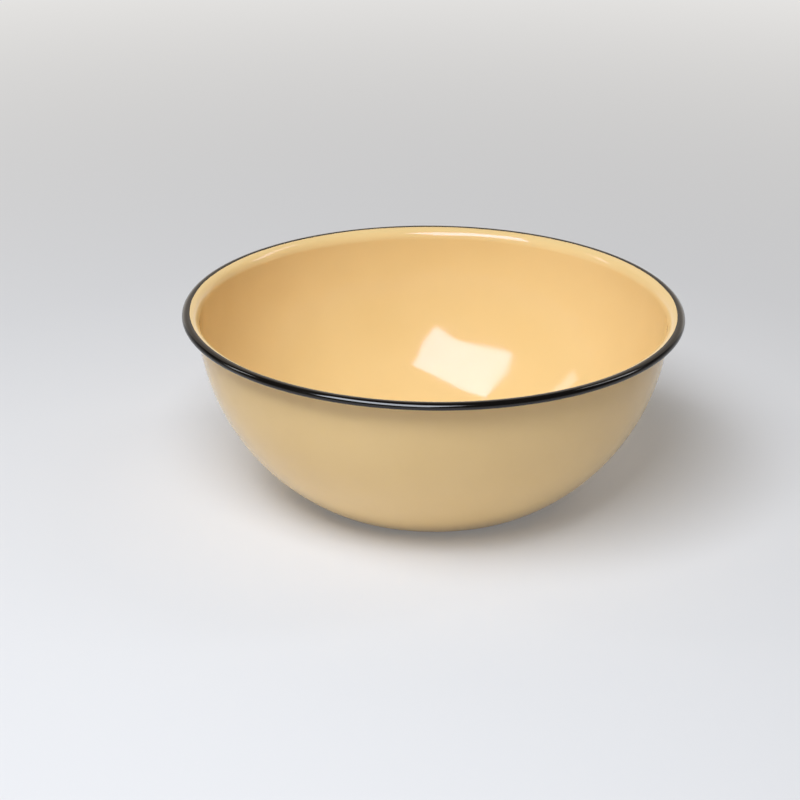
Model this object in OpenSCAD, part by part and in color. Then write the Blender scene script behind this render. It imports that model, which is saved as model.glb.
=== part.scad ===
// Enamelled steel basin bowl with a rolled, black-edged rim.
// The bowl is one sheet, drawn to a flat base, a round wall and a flared lip, whose edge bends down and curls under.
// Coats of enamel are fused on both faces, so every piece is one turned skin, a fixed distance from the next.

/* [Bowl] */
// Diameter over the rolled edge
rim_d = 260; // [200:1:320]
// Height from the table to the crest of the lip
height = 98; // [80:1:120]
// Diameter of the flat base that stands on the table
base_d = 125; // [80:1:150]
// Radius of the corner between the wall and the flat base
corner_r = 18; // [4:0.5:30]
// Height of the crest of the lip above the centre of the wall's arc
wall_drop = 1; // [0:0.25:6]

/* [Rolled edge] */
// Radius of the flared lip, from the wall up to its crest
flare_r = 6.25; // [4:0.25:14]
// Radius of the shoulder, from the crest down to the curled edge
shoulder_r = 2.7; // [2.4:0.1:3.8]
// Diameter of the curled edge
curl_d = 2.8; // [2.4:0.1:4]
// Clear gap between the cut edge of the curl and the underside of the lip
seam_gap = 0.3; // [0.1:0.05:0.8]
// Width of the black band, seen from above
band_w = 4; // [2.5:0.1:6]

/* [Sheet and enamel] */
// Thickness of the steel sheet
steel_t = 0.6; // [0.5:0.05:0.9]
// Thickness of the dark ground coat on each face
ground_t = 0.1; // [0.08:0.01:0.2]
// Thickness of the cream or black cover coat on each face
cover_t = 0.15; // [0.1:0.01:0.3]

/* [Hidden] */

// Depths of the faces between the pieces, measured inwards from the outside of the bowl
outside_face = 0;
outside_ground_face = cover_t;
steel_outside_face = outside_ground_face + ground_t;
steel_inside_face = steel_outside_face + steel_t;
inside_ground_face = steel_inside_face + ground_t;
inside_face = inside_ground_face + cover_t;
sheet_t = inside_face;

// Centres of the arcs of the shoulder, the curl, the flared lip and the corner, as [distance from the axis, height]
curl_r = curl_d / 2;
curl_a = 30;
hem = shoulder_r - curl_r;
shoulder_c = [rim_d / 2 - curl_r - hem * cos(curl_a), height - shoulder_r];
curl_c = shoulder_c + hem * [cos(curl_a), sin(curl_a)];
flare_c = [shoulder_c[0], height - flare_r];
base_edge = [base_d / 2, 0];
corner_c = [base_edge[0], corner_r];

// The wall is one arc about a centre at a given level. It touches the corner's arc from outside it and the
// lip's arc from inside it, which leaves one centre and one radius.
lip_under_r = flare_r - sheet_t;
wall_c_h = height - wall_drop;
lip_rise = flare_c[1] - wall_c_h;
corner_rise = corner_c[1] - wall_c_h;
overhang = flare_c[0] - corner_c[0];
touch = lip_under_r + corner_r;
slope = overhang / touch;
shift = (pow(lip_rise, 2) - pow(corner_rise, 2) - pow(overhang, 2) + pow(touch, 2)) / (2 * touch);
spread = pow(slope, 2) - 1;
root = sqrt(pow(slope * shift, 2) - spread * (pow(shift, 2) - pow(lip_rise, 2)));
wall_to_lip = (root - slope * shift) / spread;
wall_c = [flare_c[0] - wall_to_lip, wall_c_h];
wall_r = norm(flare_c - wall_c) - lip_under_r;

// Directions in which the arcs meet each other
base_a = direction(corner_c, base_edge);
crest_a = direction(base_edge, corner_c);
wall_foot_a = direction(wall_c, corner_c);
wall_top_a = direction(wall_c, flare_c);
flare_foot_a = direction(flare_c, wall_c);

// The black band starts on the lip, at its own width from the rolled edge
band_a = acos((rim_d / 2 - band_w - flare_c[0]) / flare_r);

// The curl is rolled in until its cut edge comes near the underside of the lip
tip_reach = shoulder_r - sheet_t - seam_gap;
tip_turn = acos((pow(tip_reach, 2) - pow(hem, 2) - pow(curl_r, 2)) / (2 * hem * curl_r));
curl_tip_a = curl_a + tip_turn - 360;

// Steps in which the arcs and the turning are drawn
corner_steps = 6;
wall_steps = 24;
flare_steps = 10;
crest_steps = 3;
shoulder_steps = 6;
curl_steps = 22;
turn_steps = 180;

cream = [0.91, 0.78, 0.57];
black = [0.10, 0.09, 0.08];
ground_blue = [0.11, 0.13, 0.20];
steel_grey = [0.62, 0.63, 0.65];

function direction(from_p, to_p) = atan2(to_p[1] - from_p[1], to_p[0] - from_p[0]);

// Points of an arc, from its first step to its last
function arc(c, r, from_a, to_a, steps, first = 1) = [
    for (i = [first : steps])
        let (a = from_a + (to_a - from_a) * i / steps)
        c + r * [cos(a), sin(a)]
];

// Stretches of the section at one depth
function base_and_wall(depth) = concat(
    [[0, depth]],
    arc(corner_c, corner_r - depth, base_a, wall_foot_a, corner_steps, first = 0),
    arc(wall_c, wall_r - depth, wall_foot_a, wall_top_a, wall_steps)
);
function lip(depth, from_a, to_a, steps, first = 1) =
    arc(flare_c, lip_under_r + depth, from_a, to_a, steps, first);
function rolled_edge(depth) = concat(
    arc(shoulder_c, shoulder_r - sheet_t + depth, crest_a, curl_a, shoulder_steps),
    arc(curl_c, curl_r - sheet_t + depth, curl_a, curl_tip_a, curl_steps)
);

// The section from the axis to the crest, to the black band, and over the band to the cut edge of the curl
function to_crest(depth) = concat(base_and_wall(depth), lip(depth, flare_foot_a, crest_a, flare_steps));
function to_band(depth) = concat(base_and_wall(depth), lip(depth, flare_foot_a, band_a, flare_steps));
function band(depth, first = 0) = concat(lip(depth, band_a, crest_a, crest_steps, first), rolled_edge(depth));
function over_band(depth) = concat(to_band(depth), band(depth, first = 1));

// One skin of the bowl, turned from the section between two of its faces
module turned_skin(near_face, far_face) {
    back = [for (i = [len(far_face) - 1 : -1 : 0]) far_face[i]];
    rotate_extrude($fn = turn_steps) polygon(concat(near_face, back));
}

// Pressed sheet, from the middle of the base to the cut edge inside the curl
module steel_bowl() {
    color(steel_grey)
        turned_skin(
            concat(to_crest(steel_outside_face), rolled_edge(steel_outside_face)),
            over_band(steel_inside_face)
        );
}

// Dark coat that bonds the cover coats to the inside and to the rolled edge
module inside_ground_coat() {
    color(ground_blue)
        turned_skin(over_band(steel_inside_face), over_band(inside_ground_face));
}

// Dark coat under the outside cover coat, up to the underside of the crest
module outside_ground_coat() {
    color(ground_blue)
        turned_skin(to_crest(outside_ground_face), to_crest(steel_outside_face));
}

// Cream cover coat of the inside, up to the black band
module inside_enamel() {
    color(cream)
        turned_skin(to_band(inside_ground_face), to_band(inside_face));
}

// Cream cover coat of the outside, with the flat face that stands on the table
module outside_enamel() {
    color(cream)
        turned_skin(to_crest(outside_face), to_crest(outside_ground_face));
}

// Black cover coat of the rolled edge
module rim_enamel() {
    color(black)
        turned_skin(band(inside_ground_face), band(inside_face));
}

steel_bowl();
inside_ground_coat();
outside_ground_coat();
inside_enamel();
outside_enamel();
rim_enamel();
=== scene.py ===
# %% [markdown]
# # An enamelled basin bowl
# The bowl is one sheet of steel, pressed round, with its edge rolled outwards and under. Glass powder is
# melted onto it in coats: a dark ground coat that grips the steel, then cream inside and out, and black on
# the rolled edge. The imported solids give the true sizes, so this lesson starts by loading them as a frame
# and keeps the box that they fill. Everything is in metres, with +Z up and the table at zero.

# %% Load the frame
import math

import bpy
import numpy as np
from mathutils import Matrix, Vector, noise


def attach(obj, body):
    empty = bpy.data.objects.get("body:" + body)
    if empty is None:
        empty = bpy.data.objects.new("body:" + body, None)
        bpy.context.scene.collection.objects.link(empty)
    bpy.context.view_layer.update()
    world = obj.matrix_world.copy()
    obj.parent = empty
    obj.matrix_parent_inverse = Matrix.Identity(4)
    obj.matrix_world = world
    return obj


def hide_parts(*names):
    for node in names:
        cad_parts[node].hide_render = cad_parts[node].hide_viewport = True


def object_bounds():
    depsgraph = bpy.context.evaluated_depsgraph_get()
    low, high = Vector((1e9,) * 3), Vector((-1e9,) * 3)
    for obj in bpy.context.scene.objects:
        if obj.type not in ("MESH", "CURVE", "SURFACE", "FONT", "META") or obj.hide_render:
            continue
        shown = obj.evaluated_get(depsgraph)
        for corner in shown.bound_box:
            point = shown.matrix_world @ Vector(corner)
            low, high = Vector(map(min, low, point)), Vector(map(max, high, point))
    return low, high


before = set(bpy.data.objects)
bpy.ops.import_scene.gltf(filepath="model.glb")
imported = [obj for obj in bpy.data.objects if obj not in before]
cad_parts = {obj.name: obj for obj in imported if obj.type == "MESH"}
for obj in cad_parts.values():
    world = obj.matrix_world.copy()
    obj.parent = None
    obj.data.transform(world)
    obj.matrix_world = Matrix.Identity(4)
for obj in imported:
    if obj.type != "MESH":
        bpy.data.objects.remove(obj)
cad_low, cad_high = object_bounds()
print("nodes:", sorted(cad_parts))
print("box of the solids:", [round(v, 4) for v in (*cad_low, *cad_high)])

# %% [markdown]
# ## The half section
# A turned bowl is known from one half section. The solids carry even coats, but fired enamel flows, thins
# and pools, and the black edge is brushed on by hand. So the three coats that show are turned again here,
# much finer, from the same arcs: a flat base, a corner, a wall, a flared lip, a shoulder and a curl. One
# could also subdivide the solids' meshes, but their long thin faces would keep the swells out. The rim's
# radius is the least reach of the solids' box, so that the finer skins stay inside it.

# %% Sizes of the section
MM = 0.001
rim_r = min(cad_high.x, cad_high.y, -cad_low.x, -cad_low.y)
height = cad_high.z
base_r = 62.5 * MM
corner_r = 18 * MM
wall_drop = 1 * MM
flare_r = 6.25 * MM
shoulder_r = 2.7 * MM
curl_r = 1.4 * MM
curl_start = math.radians(30)
seam_gap = 0.3 * MM
band_w = 4.0 * MM
cover_t = 0.15 * MM
ground_t = 0.1 * MM
steel_t = 0.6 * MM
sheet_t = steel_t + 2 * (ground_t + cover_t)
print(f"rim radius {rim_r / MM:.2f} mm, height {height / MM:.2f} mm, sheet and coats {sheet_t / MM:.2f} mm")

# %% [markdown]
# ## Where the arcs meet
# The lip rises to its crest and turns down over a tighter shoulder, which runs on into the small curl. Arcs
# that meet smoothly have their centres in line with the point where they meet, so each centre follows from
# the one before. The wall is the one arc, about a centre just below the crest, that touches both the lip
# and the corner: two distances give one quadratic equation.

# %% Centres and directions of the arcs
def direction(start, end):
    """Angle of the line from one point of the section to another."""
    return math.atan2(end[1] - start[1], end[0] - start[0])


hem = shoulder_r - curl_r
shoulder_c = (rim_r - curl_r - hem * math.cos(curl_start), height - shoulder_r)
curl_c = (shoulder_c[0] + hem * math.cos(curl_start), shoulder_c[1] + hem * math.sin(curl_start))
flare_c = (shoulder_c[0], height - flare_r)
corner_c = (base_r, corner_r)
lip_under_r = flare_r - sheet_t
wall_level = height - wall_drop

lip_rise = flare_c[1] - wall_level
corner_rise = corner_c[1] - wall_level
overhang = flare_c[0] - corner_c[0]
touch = lip_under_r + corner_r
slope = overhang / touch
shift = (lip_rise ** 2 - corner_rise ** 2 - overhang ** 2 + touch ** 2) / (2 * touch)
spread = slope ** 2 - 1
root = math.sqrt((slope * shift) ** 2 - spread * (shift ** 2 - lip_rise ** 2))
wall_c = (flare_c[0] - (root - slope * shift) / spread, wall_level)
wall_r = math.dist(flare_c, wall_c) - lip_under_r

DOWN = -math.pi / 2
UP = math.pi / 2
wall_foot = direction(wall_c, corner_c)
wall_top = direction(wall_c, flare_c)
lip_foot = direction(flare_c, wall_c)
band_start = math.acos((rim_r - band_w - flare_c[0]) / flare_r)
print(f"wall radius {wall_r / MM:.1f} mm, band starts at {math.degrees(band_start):.0f} degrees on the lip")

# %% [markdown]
# The curl is rolled in until its cut edge nearly touches the underside of the lip. The distance from the
# shoulder's centre to that edge is known, so the law of cosines gives the angle at which the curl ends.

# %% Where the curl ends
tip_reach = shoulder_r - sheet_t - seam_gap
tip_turn = math.acos((tip_reach ** 2 - hem ** 2 - curl_r ** 2) / (2 * hem * curl_r))
curl_tip = curl_start + tip_turn - 2 * math.pi
print(f"the edge turns {math.degrees(UP - curl_tip):.0f} degrees from the crest")

# %% [markdown]
# ## Rows of points
# Each coat is a stack of rings, and each ring is a row of the section: an arc's centre, its radius at the
# outside of the bowl, on which side of that face the depth grows, and its angle. The angle is a list, one
# value for each step round the bowl, so that the brushed edge of the black band can wander.

# %% Rows and faces
ROUND_STEPS = 360
around = np.arange(ROUND_STEPS) * (2 * math.pi / ROUND_STEPS)


def arc_rows(centre, radius, side, start, end, steps, first=1):
    """Rows along an arc of the section; its ends may change round the bowl."""
    shares = np.arange(first, steps + 1) / steps
    return [(centre, radius, side, start + (end - start) * share + 0 * around) for share in shares]


def base_rows(steps):
    """Rings of the flat base, from near the axis to the corner."""
    shares = np.arange(1, steps + 1) / steps
    return [((base_r * share, corner_r), corner_r, -1, DOWN + 0 * around) for share in shares]


def face_points(rows, depth):
    """Distance from the axis and height of each point, at a depth below the outside of the bowl."""
    centre_r = np.array([row[0][0] for row in rows])[:, None]
    centre_z = np.array([row[0][1] for row in rows])[:, None]
    radius = np.array([row[1] for row in rows])[:, None]
    side = np.array([row[2] for row in rows])[:, None]
    angle = np.array([row[3] for row in rows])
    reach = centre_r + (radius + side * depth) * np.cos(angle)
    rise = centre_z + (radius + side * depth) * np.sin(angle)
    return reach, rise


step_width = 2 * math.pi * rim_r / ROUND_STEPS
print(f"{ROUND_STEPS} steps round the bowl, {step_width / MM:.1f} mm apart at the rim")

# %% [markdown]
# ## Swells
# Fired enamel is never quite even: it runs a little, so its face has long shallow swells. Shorter dimples
# lie where the pressed sheet itself is uneven, and a faint peel lies over both. They are far too small to
# see as a shape, but they bend the edges of a reflection. Noise that is read at the point's own place in
# space closes on itself round the bowl, so no seam shows. A seed shifts that place, so each layer has its
# own pattern.

# %% Noise on a face
SEED_SHARES = (1.0, 0.7, 1.3)


def ring_places(points):
    """The points of a face as x, y and z, in rings."""
    reach, rise = points
    return np.stack([reach * np.cos(around), reach * np.sin(around), rise], axis=-1)


def swells(points, size, seed):
    """Smooth noise from about -1 to 1 at each point of a face."""
    places = ring_places(points) / size
    offset = Vector([share * seed for share in SEED_SHARES])
    values = [noise.noise(Vector(place) + offset) for place in places.reshape(-1, 3)]
    return np.array(values).reshape(places.shape[:2])


def unevenness(points, layers):
    """Sum of layers of noise on a face, each with its size, its depth and its seed."""
    return sum(depth * swells(points, size, seed) for size, depth, seed in layers)


def ease(values, start, end):
    """0 before start and 1 after end, with a smooth step between them."""
    share = np.clip((values - start) / (end - start), 0, 1)
    return share * share * (3 - 2 * share)


# %% [markdown]
# ## Turning a skin
# A coat is a closed skin: a face that shows, a face that is bonded to the coat below, and the thin edge
# between them. A coat that covers the middle of the bowl ends in a small fan round a point on the axis,
# and the black band is a closed ring with an edge on both sides. One could turn the section with the Screw
# modifier, but it makes every ring even, and the swells and the wandering line need uneven ones.

# %% Faces of a closed skin
def band_quads(lower, upper):
    """Quads between two rings, given by the index of their first points."""
    step = np.arange(ROUND_STEPS)
    after = (step + 1) % ROUND_STEPS
    return np.stack([lower + step, lower + after, upper + after, upper + step], axis=-1).tolist()


def skin_faces(shown, bonded, closed_middle):
    """Points and faces of a coat between the face that shows and the bonded one."""
    rows = len(shown[0])
    points = np.concatenate([ring_places(face).reshape(-1, 3) for face in (shown, bonded)]).tolist()
    starts = [row * ROUND_STEPS for row in range(2 * rows)]
    faces = []
    for face_start in (0, rows):
        for row in range(face_start, face_start + rows - 1):
            faces += band_quads(starts[row], starts[row + 1])
    faces += band_quads(starts[rows - 1], starts[2 * rows - 1])
    if closed_middle:
        for face_start, face in ((0, shown), (rows, bonded)):
            points.append([0, 0, float(face[1][0].mean())])
            ring = band_quads(starts[face_start], starts[face_start])
            faces += [[quad[0], quad[1], len(points) - 1] for quad in ring]
    else:
        faces += band_quads(starts[0], starts[rows])
    return points, faces


# %% [markdown]
# Blender takes these points and faces as a mesh. Its normals are made to agree, so that all of them point
# out of the coat. The faces are shaded smooth, as melted glass is, and only edges sharper than a limit stay
# crisp, which keeps the thin edge of a coat out of the shading of its face.

# %% Make a coat
SHARP_EDGE = math.radians(50)


def turned_skin(name, shown, bonded, closed_middle):
    """A closed coat, as an object with smooth faces and crisp edges."""
    points, faces = skin_faces(shown, bonded, closed_middle)
    mesh = bpy.data.meshes.new(name)
    mesh.from_pydata(points, [], faces)
    mesh.validate()
    piece = bpy.data.objects.new(name, mesh)
    bpy.context.scene.collection.objects.link(piece)
    bpy.context.view_layer.objects.active = piece
    bpy.ops.object.mode_set(mode="EDIT")
    bpy.ops.mesh.select_all(action="SELECT")
    bpy.ops.mesh.normals_make_consistent(inside=False)
    bpy.ops.object.mode_set(mode="OBJECT")
    mesh.shade_smooth()
    mesh.set_sharp_from_angle(angle=SHARP_EDGE)
    print(f"{name}: {len(mesh.vertices)} points, {len(mesh.polygons)} faces")
    return piece


# %% [markdown]
# ## The brushed line
# The black edge is brushed on by hand, so the line where cream and black meet wanders by about a tenth of a
# millimetre. Noise that is read on a circle gives a line that closes on itself.

# %% The line between cream and black
brush_wander = 0.14 * MM
brush_waves = 6
brush_seed = 4.2
brush_circle = [(brush_waves * math.cos(a), brush_waves * math.sin(a), brush_seed) for a in around]
edge_noise = np.array([noise.noise(Vector(place)) for place in brush_circle])
brushed_edge = band_start + edge_noise * brush_wander / flare_r
print(f"the brushed line wanders over {np.ptp(edge_noise) * brush_wander / MM:.2f} mm")

# %% [markdown]
# ## The cream inside
# The inside coat runs from the middle of the bottom, up the wall and over the lip to the black band. Near
# the band the swells fade out and the coat comes back to its even thickness, so that both coats meet flush.
# The seeds were picked by trying many, until the swells bent the bright patch as on the real bowl.

# %% Turn the inside coat
BASE_ROWS, CORNER_ROWS, WALL_ROWS, LIP_ROWS = 8, 12, 80, 18
swell_size, swell_depth = 55 * MM, 0.06 * MM
dimple_size, dimple_depth = 17 * MM, 0.20 * MM
peel_size, peel_depth = 8 * MM, 0.02 * MM
inside_swell_seed, inside_dimple_seed, inside_peel_seed = 3.1, 201.2, 333.3
inside_layers = (
    (swell_size, swell_depth, inside_swell_seed),
    (dimple_size, dimple_depth, inside_dimple_seed),
    (peel_size, peel_depth, inside_peel_seed),
)
inside_level = 0.14 * MM
inside_fade_from = height - 6 * MM
inside_fade_to = height - 1 * MM
inside_face = sheet_t
inside_ground_face = sheet_t - cover_t

bowl_rows = base_rows(BASE_ROWS)
bowl_rows += arc_rows(corner_c, corner_r, -1, DOWN, wall_foot, CORNER_ROWS)
bowl_rows += arc_rows(wall_c, wall_r, -1, wall_foot, wall_top, WALL_ROWS)
inside_rows = bowl_rows + arc_rows(flare_c, lip_under_r, 1, lip_foot, brushed_edge, LIP_ROWS)

even_face = face_points(inside_rows, inside_face)
fade = 1 - ease(even_face[1], inside_fade_from, inside_fade_to)
inside_depth = inside_face + fade * (inside_level + unevenness(even_face, inside_layers))
thinnest = inside_depth.min() - inside_ground_face
thickest = inside_depth.max() - inside_ground_face
print(f"inside coat: {thinnest / MM:.2f} to {thickest / MM:.2f} mm thick")
inside_coat = turned_skin(
    "inside_enamel_coat",
    face_points(inside_rows, inside_depth),
    face_points(inside_rows, inside_ground_face),
    closed_middle=True,
)
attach(inside_coat, "root")
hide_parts("inside_enamel")

# %% [markdown]
# ## The cream outside
# The outside coat is made the same way, from the flat base that stands on the table to the underside of the
# crest, inside the curl. Its dimples are half as deep, and it has no peel. The swells start a little above
# the base, which has to stay flat on the table, and they end below the curl.

# %% Turn the outside coat
outside_swell_seed, outside_dimple_seed = 7.7, 9.3
outside_layers = (
    (swell_size, swell_depth, outside_swell_seed),
    (dimple_size, dimple_depth / 2, outside_dimple_seed),
)
outside_level = 0.05 * MM
flat_below, full_above = 4 * MM, 24 * MM
outside_fade_from = height - 10 * MM
outside_fade_to = height - 5 * MM

outside_rows = bowl_rows + arc_rows(flare_c, lip_under_r, 1, lip_foot, UP, LIP_ROWS)
even_face = face_points(outside_rows, 0)
fade = ease(even_face[1], flat_below, full_above)
fade = fade * (1 - ease(even_face[1], outside_fade_from, outside_fade_to))
outside_depth = -fade * (outside_level + unevenness(even_face, outside_layers))
thinnest = cover_t - outside_depth.max()
thickest = cover_t - outside_depth.min()
print(f"outside coat: {thinnest / MM:.2f} to {thickest / MM:.2f} mm thick")
outside_coat = turned_skin(
    "outside_enamel_coat",
    face_points(outside_rows, outside_depth),
    face_points(outside_rows, cover_t),
    closed_middle=True,
)
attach(outside_coat, "root")
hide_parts("outside_enamel")

# %% [markdown]
# ## The black edge
# The black coat starts at the brushed line, goes over the crest and the shoulder, and follows the curl to
# its cut edge. Where the brush leaves off, surface tension draws the melt up into a low bead, and that bead
# catches a thin line of light.

# %% Turn the black band
CREST_ROWS, SHOULDER_ROWS, CURL_ROWS = 6, 14, 40
bead_height = 0.03 * MM
bead_width = 0.6 * MM

rim_rows = arc_rows(flare_c, lip_under_r, 1, brushed_edge, UP, CREST_ROWS, first=0)
rim_rows += arc_rows(shoulder_c, shoulder_r - sheet_t, 1, UP, curl_start, SHOULDER_ROWS)
rim_rows += arc_rows(curl_c, curl_r - sheet_t, 1, curl_start, curl_tip, CURL_ROWS)
even_face = face_points(rim_rows, inside_face)
from_edge = np.abs(even_face[0] - even_face[0][0])
bead = bead_height * (1 - ease(from_edge, 0, bead_width))
bead[CREST_ROWS:] = 0
rim_coat = turned_skin(
    "rim_enamel_coat",
    face_points(rim_rows, inside_face + bead),
    face_points(rim_rows, inside_ground_face),
    closed_middle=False,
)
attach(rim_coat, "root")
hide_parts("rim_enamel")

# %% [markdown]
# ## Shared effects as node groups
# Every coat is fired glass, so they share three effects, each a node group with its own values in each
# material: a slow drift of colour where the coat is thicker or thinner, the fine ripple that fired enamel
# keeps, and the gloss that handling dulls a little in places. They read the object's own coordinates in
# metres, so the counts per metre below are real ones. A few helpers keep the wiring short.

# %% Helpers that make groups and textures
def new_group(name, inputs, outputs):
    """An empty node group with its sockets, and its input and output nodes."""
    group = bpy.data.node_groups.new(name, "ShaderNodeTree")
    for label, kind, value in inputs:
        socket = group.interface.new_socket(label, in_out="INPUT", socket_type=kind)
        socket.default_value = value
    for label, kind in outputs:
        group.interface.new_socket(label, in_out="OUTPUT", socket_type=kind)
    return group, group.nodes.new("NodeGroupInput"), group.nodes.new("NodeGroupOutput")


def give(tree, socket, value):
    """Sets a socket to a number or a colour, or links it to another socket."""
    if isinstance(value, (int, float, tuple)):
        socket.default_value = value
    else:
        tree.links.new(value, socket)


def noise_node(tree, coordinates, scale, detail):
    """A noise texture that reads the given coordinates."""
    node = tree.nodes.new("ShaderNodeTexNoise")
    node.inputs["Detail"].default_value = detail
    tree.links.new(coordinates, node.inputs["Vector"])
    give(tree, node.inputs["Scale"], scale)
    return node.outputs["Fac"]


# %% [markdown]
# Three more helpers work with what the textures give. One picks out the range of a noise that should show,
# one does a step of arithmetic, and one lays a colour over another by a share.

# %% Helpers that work with values and colours
def range_node(tree, value, low, high, to_low=0.0, to_high=1.0):
    """Maps a value from one range to another, and keeps it there."""
    node = tree.nodes.new("ShaderNodeMapRange")
    tree.links.new(value, node.inputs["Value"])
    for label, given in (("From Min", low), ("From Max", high), ("To Min", to_low), ("To Max", to_high)):
        give(tree, node.inputs[label], given)
    return node.outputs["Result"]


def math_node(tree, operation, first, second):
    """One step of arithmetic on two values, either of which may be a number."""
    node = tree.nodes.new("ShaderNodeMath")
    node.operation = operation
    give(tree, node.inputs[0], first)
    give(tree, node.inputs[1], second)
    return node.outputs["Value"]


def blend_colours(tree, share, first, second):
    """The first colour where the share is 0 and the second where it is 1."""
    node = tree.nodes.new("ShaderNodeMix")
    node.data_type = "RGBA"
    colour_sockets = [socket for socket in node.inputs if socket.type == "RGBA"]
    tree.links.new(share, node.inputs["Factor"])
    give(tree, colour_sockets[0], first)
    give(tree, colour_sockets[1], second)
    return next(socket for socket in node.outputs if socket.type == "RGBA")


# %% [markdown]
# Colour drift: the cover coat is not fully opaque, so where it ran thin the ground coat dulls it. Soft
# patches a few centimetres wide mix the full colour with a thinner one. A few pin-sized specks, where a
# bubble burst in the kiln, have a colour of their own.

# %% Group: colour drift and specks
drift, given, result = new_group(
    "Fired colour",
    [
        ("Full Colour", "NodeSocketColor", (1, 1, 1, 1)),
        ("Thin Colour", "NodeSocketColor", (0.5, 0.5, 0.5, 1)),
        ("Speck Colour", "NodeSocketColor", (0.1, 0.1, 0.1, 1)),
        ("Patches per Metre", "NodeSocketFloat", 20.0),
        ("Specks per Metre", "NodeSocketFloat", 60.0),
        ("Speck Size", "NodeSocketFloat", 0.03),
    ],
    [("Colour", "NodeSocketColor")],
)
patch_low, patch_high = 0.35, 0.70
specked_share = 0.12
place = drift.nodes.new("ShaderNodeTexCoord").outputs["Object"]
patches = noise_node(drift, place, given.outputs["Patches per Metre"], detail=3.0)
patch_share = range_node(drift, patches, patch_low, patch_high)
cells = drift.nodes.new("ShaderNodeTexVoronoi")
drift.links.new(place, cells.inputs["Vector"])
drift.links.new(given.outputs["Specks per Metre"], cells.inputs["Scale"])
spots = math_node(drift, "LESS_THAN", cells.outputs["Distance"], given.outputs["Speck Size"])
parts = drift.nodes.new("ShaderNodeSeparateColor")
drift.links.new(cells.outputs["Color"], parts.inputs["Color"])
chosen = math_node(drift, "LESS_THAN", parts.outputs["Red"], specked_share)
speck_mask = math_node(drift, "MULTIPLY", spots, chosen)
body = blend_colours(drift, patch_share, given.outputs["Full Colour"], given.outputs["Thin Colour"])
specked = blend_colours(drift, speck_mask, body, given.outputs["Speck Colour"])
drift.links.new(specked, result.inputs["Colour"])
print("group made:", drift.name)

# %% [markdown]
# Ripple: fired enamel sets with a faint skin like the peel of an orange, a few millimetres from crest to
# crest and a few thousandths deep. The group gives a height in metres, which a Bump node turns into
# normals.

# %% Group: ripple of the fired skin
ripple, given, result = new_group(
    "Fired ripple",
    [
        ("Ripples per Metre", "NodeSocketFloat", 180.0),
        ("Ripple Depth", "NodeSocketFloat", 0.000004),
        ("Runs per Metre", "NodeSocketFloat", 30.0),
        ("Run Depth", "NodeSocketFloat", 0.00002),
    ],
    [("Height", "NodeSocketFloat")],
)
place = ripple.nodes.new("ShaderNodeTexCoord").outputs["Object"]
fine = noise_node(ripple, place, given.outputs["Ripples per Metre"], detail=1.5)
broad = noise_node(ripple, place, given.outputs["Runs per Metre"], detail=1.0)
fine_height = math_node(ripple, "MULTIPLY", fine, given.outputs["Ripple Depth"])
broad_height = math_node(ripple, "MULTIPLY", broad, given.outputs["Run Depth"])
ripple.links.new(math_node(ripple, "ADD", fine_height, broad_height), result.inputs["Height"])
print("group made:", ripple.name)

# %% [markdown]
# Gloss: clean enamel is nearly a mirror. Fingers and cloths leave a thin film in soft smears, which spreads
# the reflection a little. So the roughness goes from a clean value to a smeared one in soft patches.

# %% Group: handled gloss
gloss, given, result = new_group(
    "Handled gloss",
    [
        ("Clean Roughness", "NodeSocketFloat", 0.08),
        ("Smeared Roughness", "NodeSocketFloat", 0.16),
        ("Smears per Metre", "NodeSocketFloat", 25.0),
    ],
    [("Roughness", "NodeSocketFloat")],
)
smear_low, smear_high = 0.45, 0.75
place = gloss.nodes.new("ShaderNodeTexCoord").outputs["Object"]
smears = noise_node(gloss, place, given.outputs["Smears per Metre"], detail=4.0)
smear_share = range_node(gloss, smears, smear_low, smear_high)
roughness = range_node(
    gloss, smear_share, 0.0, 1.0, given.outputs["Clean Roughness"], given.outputs["Smeared Roughness"]
)
gloss.links.new(roughness, result.inputs["Roughness"])
print("group made:", gloss.name)

# %% [markdown]
# ## Finishes
# One function makes each finish from the three groups: the drift feeds the base colour, the gloss feeds the
# roughness and the ripple feeds the normal. What is the same all over a surface, such as the refraction of
# glass, is set on the shader itself, which each finish gets back together with its material.

# %% Put a finish together
def place_group(material, group, values):
    """Puts a group into a material and sets its inputs."""
    node = material.node_tree.nodes.new("ShaderNodeGroup")
    node.node_tree = group
    for label, value in values.items():
        node.inputs[label].default_value = value
    return node


def make_finish(name, colours, gloss_values, ripple_values):
    """A material with drifting colour, handled gloss and a rippled skin, and its shader."""
    material = bpy.data.materials.new(name)
    material.use_nodes = True
    tree = material.node_tree
    shader = tree.nodes["Principled BSDF"]
    colour_node = place_group(material, drift, colours)
    gloss_node = place_group(material, gloss, gloss_values)
    ripple_node = place_group(material, ripple, ripple_values)
    bump = tree.nodes.new("ShaderNodeBump")
    bump.inputs["Strength"].default_value = 1.0
    bump.inputs["Distance"].default_value = 1.0
    tree.links.new(colour_node.outputs["Colour"], shader.inputs["Base Color"])
    tree.links.new(gloss_node.outputs["Roughness"], shader.inputs["Roughness"])
    tree.links.new(ripple_node.outputs["Height"], bump.inputs["Height"])
    tree.links.new(bump.outputs["Normal"], shader.inputs["Normal"])
    print("finish made:", name)
    return material, shader


# %% [markdown]
# ## Cream enamel
# Fired enamel is a glass, so the plain gloss of the Principled shader is all the shine that it needs. The
# refraction is set so that the bright patch inside is as bright as in the photograph. That patch is a
# slightly pinkish white there, so the specular tint takes some green out of the reflections.

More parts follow.
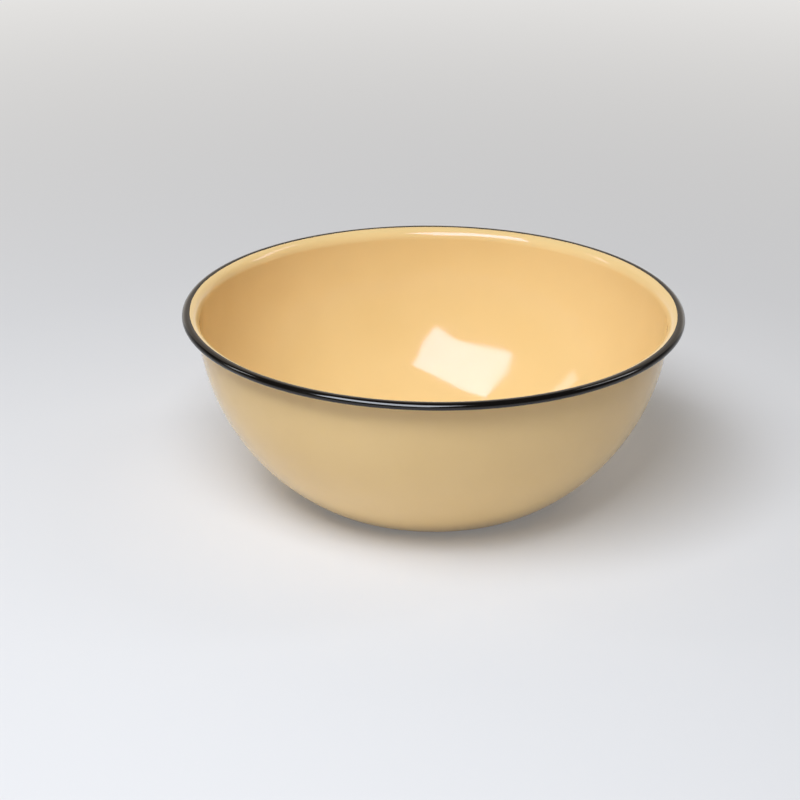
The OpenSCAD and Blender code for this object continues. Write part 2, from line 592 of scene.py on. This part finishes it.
# %% Cream
cream, cream_shader = make_finish(
    "cream_enamel",
    {
        "Full Colour": (0.865, 0.617, 0.274, 1),
        "Thin Colour": (0.84, 0.592, 0.255, 1),
        "Speck Colour": (0.35, 0.22, 0.10, 1),
        "Patches per Metre": 18.0,
        "Specks per Metre": 45.0,
        "Speck Size": 0.012,
    },
    {"Clean Roughness": 0.09, "Smeared Roughness": 0.14, "Smears per Metre": 22.0},
    {"Ripples per Metre": 160.0, "Ripple Depth": 0.000004, "Runs per Metre": 28.0, "Run Depth": 0.000008},
)
cream_shader.inputs["IOR"].default_value = 1.48
cream_shader.inputs["Specular Tint"].default_value = (1.0, 0.72, 1.0, 1)

# %% [markdown]
# ## Black enamel
# The black coat takes nearly all its looks from reflections, so its own colour is close to none, with a
# trace of brown. Its refraction is set so that the grey ends of the band come near the photograph.

# %% Black
black, black_shader = make_finish(
    "black_enamel",
    {
        "Full Colour": (0.0045, 0.0035, 0.0028, 1),
        "Thin Colour": (0.007, 0.0055, 0.0045, 1),
        "Speck Colour": (0.03, 0.027, 0.024, 1),
        "Patches per Metre": 40.0,
        "Specks per Metre": 150.0,
        "Speck Size": 0.02,
    },
    {"Clean Roughness": 0.07, "Smeared Roughness": 0.15, "Smears per Metre": 60.0},
    {"Ripples per Metre": 260.0, "Ripple Depth": 0.000004, "Runs per Metre": 60.0, "Run Depth": 0.00001},
)
black_shader.inputs["IOR"].default_value = 1.53

# %% [markdown]
# ## Ground coat
# The ground coat is a dark blue-grey enamel that bonds to the steel. It is fired thin and rough, and it
# shows only inside the curl and at cut edges, so it is duller and more patchy than the cover coats.

# %% Ground coat
ground, ground_shader = make_finish(
    "ground_enamel",
    {
        "Full Colour": (0.020, 0.026, 0.050, 1),
        "Thin Colour": (0.040, 0.038, 0.045, 1),
        "Speck Colour": (0.10, 0.06, 0.04, 1),
        "Patches per Metre": 120.0,
        "Specks per Metre": 220.0,
        "Speck Size": 0.05,
    },
    {"Clean Roughness": 0.22, "Smeared Roughness": 0.40, "Smears per Metre": 80.0},
    {"Ripples per Metre": 400.0, "Ripple Depth": 0.00001, "Runs per Metre": 60.0, "Run Depth": 0.00002},
)
ground_shader.inputs["IOR"].default_value = 1.5

# %% [markdown]
# ## Bare steel
# The sheet itself shows only inside the curl, where the kiln has blued and scaled it. The same three
# groups serve it with other values: darker scale in patches, a fine grain, and a rougher skin in places.
# What makes it a metal is set on the shader.

# %% Steel
steel, steel_shader = make_finish(
    "pressed_steel",
    {
        "Full Colour": (0.42, 0.42, 0.43, 1),
        "Thin Colour": (0.16, 0.15, 0.16, 1),
        "Speck Colour": (0.10, 0.05, 0.03, 1),
        "Patches per Metre": 90.0,
        "Specks per Metre": 300.0,
        "Speck Size": 0.08,
    },
    {"Clean Roughness": 0.35, "Smeared Roughness": 0.6, "Smears per Metre": 90.0},
    {"Ripples per Metre": 900.0, "Ripple Depth": 0.000006, "Runs per Metre": 90.0, "Run Depth": 0.00001},
)
steel_shader.inputs["Metallic"].default_value = 1.0

# %% [markdown]
# ## Dressing the pieces
# The three new coats take the place of their solids. The steel and the two ground coats are the solids
# themselves: their shape is right as it is, so they only get a material.

# %% Dress every piece
def dress(piece, material):
    """Gives a piece one material in place of what it had."""
    piece.data.materials.clear()
    piece.data.materials.append(material)


dress(inside_coat, cream)
dress(outside_coat, cream)
dress(rim_coat, black)
for node_name, material, slot_name in (
    ("steel_bowl", steel, "steel"),
    ("inside_ground_coat", ground, "ground_enamel"),
    ("outside_ground_coat", ground, "ground_enamel"),
):
    dress(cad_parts[node_name], material)

# %% [markdown]
# ## Floor
# The bowl stands on a plain pale sheet, wide enough to fill the view. It lies a hair below the base, so
# that the two faces don't share a plane. White paper throws a good deal of light up under the bowl, but
# seen directly under the same lamps it would burn out. So rays that go straight from the camera, or by way
# of a reflection or glass, meet a slightly greyer sheet, and the scattered light keeps the white one.

# %% Lay the sheet
FLOOR_R = 6.0
FLOOR_SIDES = 96
floor_drop = 0.2 * MM
white_paper = (0.84, 0.83, 0.815, 1)
greyer_paper = (0.72, 0.715, 0.705, 1)


def seen_directly(tree):
    """1 for rays from the camera, a reflection or glass, and 0 for scattered light."""
    rays = tree.nodes.new("ShaderNodeLightPath").outputs
    direct = math_node(tree, "MAXIMUM", rays["Is Camera Ray"], rays["Is Glossy Ray"])
    return math_node(tree, "MAXIMUM", direct, rays["Is Transmission Ray"])


floor_angles = np.linspace(0, 2 * math.pi, FLOOR_SIDES, endpoint=False)
floor_ring = [(FLOOR_R * math.cos(a), FLOOR_R * math.sin(a), -floor_drop) for a in floor_angles]
floor_mesh = bpy.data.meshes.new("floor")
floor_mesh.from_pydata(floor_ring, [], [list(range(FLOOR_SIDES))])
floor = bpy.data.objects.new("floor", floor_mesh)
bpy.context.scene.collection.objects.link(floor)

paper = bpy.data.materials.new("pale_paper")
paper.use_nodes = True
paper_tree = paper.node_tree
paper_shader = paper_tree.nodes["Principled BSDF"]
paper_shader.inputs["Roughness"].default_value = 0.9
paper_shader.inputs["Specular IOR Level"].default_value = 0.2
direct_rays = seen_directly(paper_tree)
paper_colour = blend_colours(paper_tree, direct_rays, white_paper, greyer_paper)
paper_tree.links.new(paper_colour, paper_shader.inputs["Base Color"])
floor.data.materials.append(paper)
print(f"floor: {2 * FLOOR_R:.0f} m across, {floor_drop / MM:.1f} mm below the base")

# %% [markdown]
# Further out, where the lamps no longer reach, the same direct rays see the sheet fade into a pale
# backdrop, which dims a little towards its far edge. Close to the bowl a small share of it already softens
# the shadow. A lamp for the background would light the bowl too, but scattered light doesn't meet this
# glow, so the light on the bowl stays as it is.

# %% Fade the sheet into a backdrop
fade_near, fade_far = 0.35, 1.5
near_share = 0.2
edge_strength = 0.7
backdrop_colour = (0.90, 0.89, 0.875, 1)

floor_place = paper_tree.nodes.new("ShaderNodeTexCoord").outputs["Object"]
distance_node = paper_tree.nodes.new("ShaderNodeVectorMath")
distance_node.operation = "LENGTH"
paper_tree.links.new(floor_place, distance_node.inputs[0])
distance = distance_node.outputs["Value"]
far_share = range_node(paper_tree, distance, fade_near, fade_far, near_share, 1.0)
backdrop = paper_tree.nodes.new("ShaderNodeEmission")
backdrop.inputs["Color"].default_value = backdrop_colour
dimming = range_node(paper_tree, distance, fade_far, FLOOR_R, 1.0, edge_strength)
paper_tree.links.new(dimming, backdrop.inputs["Strength"])
fade_out = paper_tree.nodes.new("ShaderNodeMixShader")
paper_tree.links.new(math_node(paper_tree, "MULTIPLY", far_share, direct_rays), fade_out.inputs["Fac"])
paper_tree.links.new(paper_shader.outputs["BSDF"], fade_out.inputs[1])
paper_tree.links.new(backdrop.outputs["Emission"], fade_out.inputs[2])
paper_tree.links.new(fade_out.outputs["Shader"], paper_tree.nodes["Material Output"].inputs["Surface"])
print(f"the sheet fades from {fade_near} m to {fade_far} m")

# %% [markdown]
# ## Key light
# One wide soft box hangs in front, to the left and above: its reflection is the bright patch on the inside
# of the bowl, so its place, turn and size follow from the corners of that patch. Its light is slightly cool
# and the cream a little deeper than it would otherwise be, which keeps the shaded side of the bowl golden.

# %% Hang the soft box
def soft_box(name, centre, aim, across, size, brightness, colour):
    """A rectangular area light at a place, facing a point, with its width along a direction."""
    data = bpy.data.lights.new(name, "AREA")
    data.shape = "RECTANGLE"
    data.size, data.size_y = size
    data.energy = brightness * math.pi * size[0] * size[1]
    data.color = colour
    lamp = bpy.data.objects.new(name, data)
    bpy.context.scene.collection.objects.link(lamp)
    back = (Vector(centre) - Vector(aim)).normalized()
    side = (Vector(across) - back * back.dot(Vector(across))).normalized()
    turn = Matrix((side, back.cross(side), back)).transposed().to_4x4()
    lamp.matrix_world = Matrix.Translation(centre) @ turn
    print(f"{name}: {size[0]} by {size[1]} m, {(Vector(centre) - Vector(aim)).length:.2f} m away")


soft_box(
    "key_soft_box",
    centre=(-0.286, -0.556, 1.051),
    aim=(0.020, 0.093, 0.026),
    across=(-0.818, 0.573, 0.055),
    size=(0.92, 0.57),
    brightness=9.8,
    colour=(0.95, 1.0, 1.10),
)

# %% [markdown]
# ## Strips and card
# A strip light on each side draws a thin grey line on the black edge and a faint patch inside the bowl. A
# wide dim card behind, in a warm white, lifts the lip and the ends of the edge.

# %% Set up the fill lights
WHITE, WARM_WHITE = (1.0, 1.0, 1.0), (1.0, 0.87, 0.73)
X_AXIS, Y_AXIS = (1, 0, 0), (0, 1, 0)
bowl_middle = (0, 0, height / 2)
soft_box("back_card", (0.0, 2.0, 1.0), bowl_middle, X_AXIS, (3.6, 2.0), 0.50, WARM_WHITE)
soft_box("left_strip", (-1.24, 0.33, 0.97), bowl_middle, Y_AXIS, (0.18, 0.48), 4.0, WHITE)
soft_box("right_strip", (1.59, 0.71, 1.79), bowl_middle, Y_AXIS, (0.33, 1.10), 4.2, WHITE)

# %% [markdown]
# ## Room
# The room itself is nearly dark, so that the front of the black edge stays black. Only its lower part
# glows, for direct rays alone: at the horizon it is as pale as the far edge of the sheet, so that no line
# shows between them, and higher up it fades away.

# %% Make the room
room_level = 0.03
horizon_glow = 0.60
glow_top = 0.40

room = bpy.data.worlds.new("room")
room.use_nodes = True
room_tree = room.node_tree
room_light = room_tree.nodes["Background"]
room_light.inputs["Color"].default_value = (1.0, 0.985, 0.96, 1)
sky = room_tree.nodes.new("ShaderNodeSeparateXYZ")
room_place = room_tree.nodes.new("ShaderNodeTexCoord").outputs["Generated"]
room_tree.links.new(room_place, sky.inputs["Vector"])
horizon = range_node(room_tree, sky.outputs["Z"], 0.0, glow_top, horizon_glow, 0.0)
glow = math_node(room_tree, "MULTIPLY", horizon, seen_directly(room_tree))
room_tree.links.new(math_node(room_tree, "ADD", glow, room_level), room_light.inputs["Strength"])
bpy.context.scene.world = room
print(f"room: level {room_level}, horizon {horizon_glow + room_level:.2f}")

# %% [markdown]
# ## Camera
# The camera stands a little over a metre away and sees the bowl from about twenty-one degrees above the
# table, as in the photograph. The small turns aim it off the bowl's centre, which puts the bowl where the
# photograph has it.

# %% Place the camera
view_elevation = math.radians(20.9441)
view_distance = 1.1178
view_level = 96.25 * MM
aim_turn = math.radians(0.8590)
aim_tilt = math.radians(-2.455)
aim_roll = math.radians(0.5893)
camera_data = bpy.data.cameras.new("camera")
camera_data.sensor_width = 36.0
camera_data.lens = 96.75
camera = bpy.data.objects.new("camera", camera_data)
bpy.context.scene.collection.objects.link(camera)
look = Matrix.Rotation(UP - view_elevation, 4, "X") @ Matrix.Rotation(aim_turn, 4, "Y")
look = look @ Matrix.Rotation(aim_tilt, 4, "X") @ Matrix.Rotation(aim_roll, 4, "Z")
stand = Vector((0, -math.cos(view_elevation), math.sin(view_elevation))) * view_distance
camera.matrix_world = Matrix.Translation(stand + Vector((0, 0, view_level))) @ look
bpy.context.scene.camera = camera
bpy.context.scene.view_settings.view_transform = "Standard"
print(f"camera: {view_distance:.2f} m away, {math.degrees(view_elevation):.0f} degrees up")

# %% [markdown]
# ## Last step
# The last cell brings the scene up to date.

# %% Update the scene
bpy.context.view_layer.update()
